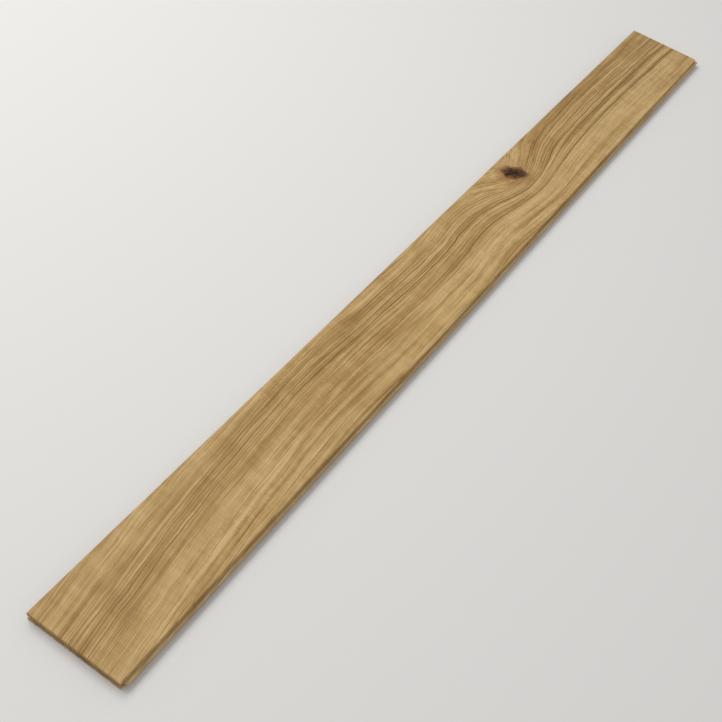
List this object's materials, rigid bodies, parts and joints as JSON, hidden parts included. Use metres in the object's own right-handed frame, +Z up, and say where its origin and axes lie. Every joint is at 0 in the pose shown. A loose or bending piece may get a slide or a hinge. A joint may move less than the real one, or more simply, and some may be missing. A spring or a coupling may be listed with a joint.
{
  "type": "wide plank floorboard",
  "caption": "Solid oak wide plank floorboard with a knot, tongue and groove on long edges and ends, bevelled face edges and relief grooves along the underside.",
  "frame": {"origin": "on the underside, below the middle of the wear face", "axes": "X along the grain towards the end tongue, Y across the board towards the long groove, Z up out of the wear face"},
  "size_m": [2.2065, 0.1865, 0.02],
  "materials": {
    "oak": "satin lacquered face, bare machined edges and underside"
  },
  "bodies": {
    "root": {"floorboard": "oak"}
  },
  "joints": []
}
